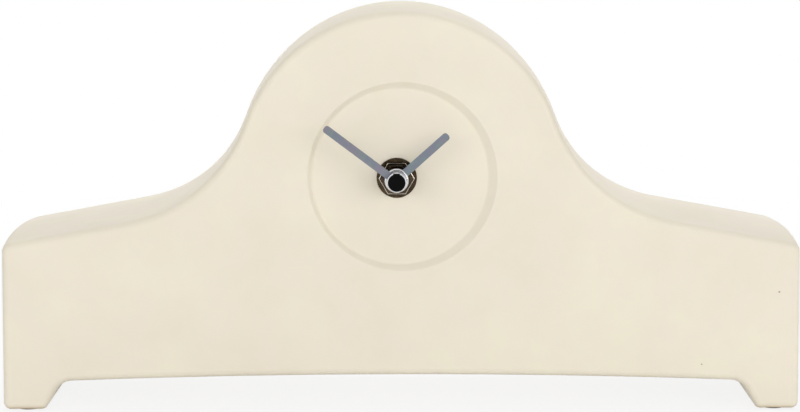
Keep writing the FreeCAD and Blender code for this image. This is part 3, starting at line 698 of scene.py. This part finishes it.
rim_frame()
piece("knob_guard",
      turned([(radius, cover_back + proud) for radius, proud in guard_section], knob, steps=72),
      "case", "black_plastic", black_grain)
panel_left = cover_low.x + panel_from_side
panel_top = cover_high.z - panel_from_top
raised_bar("blank_panel", panel_left, panel_left + panel_width, panel_top - panel_height,
           panel_top, panel_proud, panel_edge)
cell_signs()
for side_name, side, outward in (("left", cover_low.x, -1), ("right", cover_high.x, 1)):
    cover_catch(f"catch_{side_name}_low", side, outward, cover_low.z + catch_from_end)
    cover_catch(f"catch_{side_name}_high", side, outward, cover_high.z - catch_from_end)
softened_copy("knob_rounded", "setting_knob", "setting", "black_plastic", black_grain, knob_edge)


# Studio

def studio_floor():
    """A wide pale floor, white to the camera except where the clock shades it."""
    shape = bmesh.new()
    bmesh.ops.create_grid(shape, x_segments=1, y_segments=1, size=floor_size)
    mesh = bpy.data.meshes.new("studio_floor")
    shape.to_mesh(mesh)
    shape.free()
    made = bpy.data.objects.new("studio_floor", mesh)
    bpy.context.scene.collection.objects.link(made)
    finish = Finish("studio_floor")
    path = {name: finish.node("ShaderNodeLightPath", {}, {}, name)
            for name in ("Is Camera Ray", "Is Glossy Ray", "Is Transmission Ray")}
    seen = path["Is Camera Ray"].math("MAXIMUM", path["Is Glossy Ray"])
    seen = seen.math("MAXIMUM", path["Is Transmission Ray"])
    tone = finish.mix(finish.noise(floor_cloud), floor_dim, floor_bright)
    matt = finish.node("ShaderNodeBsdfDiffuse", {}, {"Color": tone})
    white = finish.node("ShaderNodeEmission", {}, {"Color": (1, 1, 1, 1), "Strength": 1.0})
    across = finish.place("X")
    back = finish.place("Y")
    reach = (across * across + back * back).math("SQRT").between(shadow_reach, white_reach)
    share = near_white_share + (1 - near_white_share) * reach
    mixed = finish.node("ShaderNodeMixShader", {}, {0: seen * share, 1: matt, 2: white})
    finish.node("ShaderNodeOutputMaterial", {}, {"Surface": mixed}, None)
    mesh.materials.append(finish.owner)


def studio_world():
    """Even soft light. The camera sees plain white, and gloss a darker room towards -Y."""
    world = bpy.data.worlds.new("studio_world")
    bpy.context.scene.world = world
    finish = Finish("studio_world", world)
    camera_ray = finish.node("ShaderNodeLightPath", {}, {}, "Is Camera Ray")
    gloss_ray = finish.node("ShaderNodeLightPath", {}, {}, "Is Glossy Ray")
    clear_ray = finish.node("ShaderNodeLightPath", {}, {}, "Is Transmission Ray")
    way = finish.node("ShaderNodeTexCoord", {}, {}, "Generated")
    forward = finish.node("ShaderNodeSeparateXYZ", {}, {"Vector": way}, "Y") * -1
    gloss = 1 - forward.between(room_side_share, room_centre_share) * room_darkness
    seen = camera_ray.math("MAXIMUM", clear_ray)
    strength = seen + (1 - seen) * (gloss_ray * gloss + (1 - gloss_ray) * world_light)
    backdrop = finish.node("ShaderNodeBackground", {},
                           {"Color": (1, 1, 1, 1), "Strength": strength})
    finish.node("ShaderNodeOutputWorld", {}, {"Surface": backdrop}, None)


def softbox(name, place, width, height, power, glossy):
    """A rectangular lamp that faces the clock. Without glossy it shows in no reflection."""
    lamp = bpy.data.lights.new(name, "AREA")
    lamp.shape = "RECTANGLE"
    lamp.size = width
    lamp.size_y = height
    lamp.energy = power
    made = bpy.data.objects.new(name, lamp)
    bpy.context.scene.collection.objects.link(made)
    made.location = place
    made.rotation_euler = (aim - place).to_track_quat("-Z", "Y").to_euler()
    made.visible_glossy = glossy


def photo_camera():
    """The camera at the photograph's viewing angle."""
    lens = bpy.data.cameras.new("photo_camera")
    lens.sensor_width = sensor_width
    lens.lens = sensor_width * focal_pixels / picture_width
    lens.clip_start = near_clip
    made = bpy.data.objects.new("photo_camera", lens)
    bpy.context.scene.collection.objects.link(made)
    way_in = Vector((0, math.cos(camera_pitch), -math.sin(camera_pitch)))
    made.location = aim - way_in * camera_distance
    made.rotation_euler = (math.pi / 2 - camera_pitch, camera_roll, 0)
    bpy.context.scene.camera = made


studio_floor()
studio_world()
for name, lamp_values in softboxes.items():
    softbox(name, *lamp_values)
photo_camera()
bpy.context.scene.view_settings.view_transform = "Standard"
